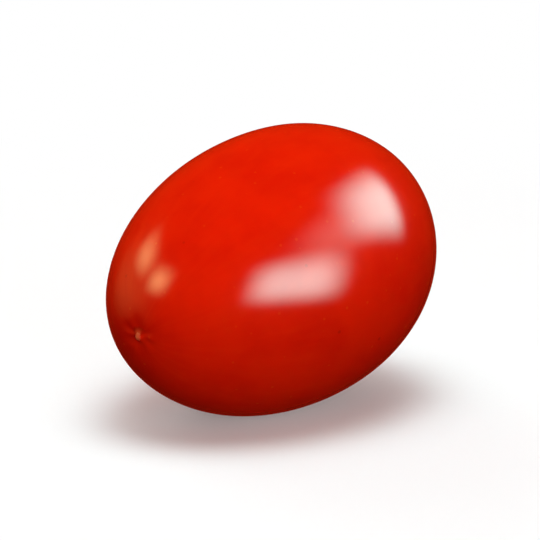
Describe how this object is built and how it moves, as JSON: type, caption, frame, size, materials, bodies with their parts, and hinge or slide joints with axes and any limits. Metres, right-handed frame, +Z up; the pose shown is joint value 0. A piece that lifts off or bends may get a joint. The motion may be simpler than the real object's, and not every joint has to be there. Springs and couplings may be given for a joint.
{
  "type": "tomato",
  "caption": "Small ripe plum tomato: smooth glossy red egg shape with a dimpled stem scar and a small blossom point, lying on its side on a small flat spot.",
  "frame": {"origin": "on the resting plane, under the middle of the fruit's box", "axes": "+Z up; the fruit's axis runs along X, with the stem end at +X, raised by nine degrees, and the blossom end at -X"},
  "size_m": [0.038, 0.0282, 0.0279],
  "materials": {
    "skin": "smooth waxy tomato skin, glossy, saturated red"
  },
  "bodies": {
    "root": {"tomato": "skin"}
  },
  "joints": []
}
